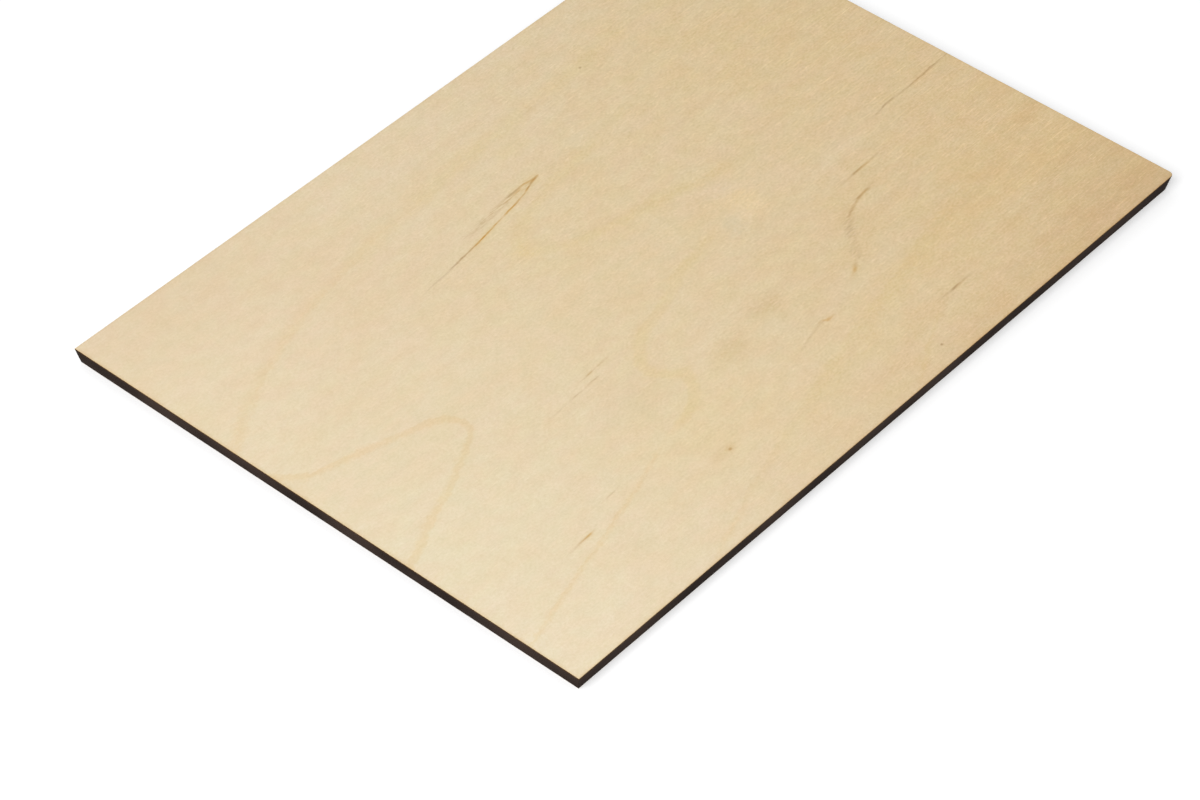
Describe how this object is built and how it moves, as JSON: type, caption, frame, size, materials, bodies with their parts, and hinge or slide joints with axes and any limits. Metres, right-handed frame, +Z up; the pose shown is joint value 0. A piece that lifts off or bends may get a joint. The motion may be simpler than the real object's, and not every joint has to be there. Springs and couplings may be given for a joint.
{
  "type": "plywood sheet",
  "caption": "Flat rectangular sheet of birch plywood in the A4 size, pale sanded faces with fine grain along the length, dark scorched edges sloping in under the face.",
  "frame": {"origin": "middle of the underside, on the surface that the sheet lies on", "axes": "+X along the length, the way the face grain runs; +Y across the width; +Z up through the thickness, out of the better face"},
  "size_m": [0.297, 0.21, 0.006],
  "materials": {
    "birch_plywood": "sanded bare birch veneer, matt, with fine grain along the length, and dark brown scorched edges"
  },
  "bodies": {
    "root": {"plywood_sheet": "birch_plywood"}
  },
  "joints": []
}
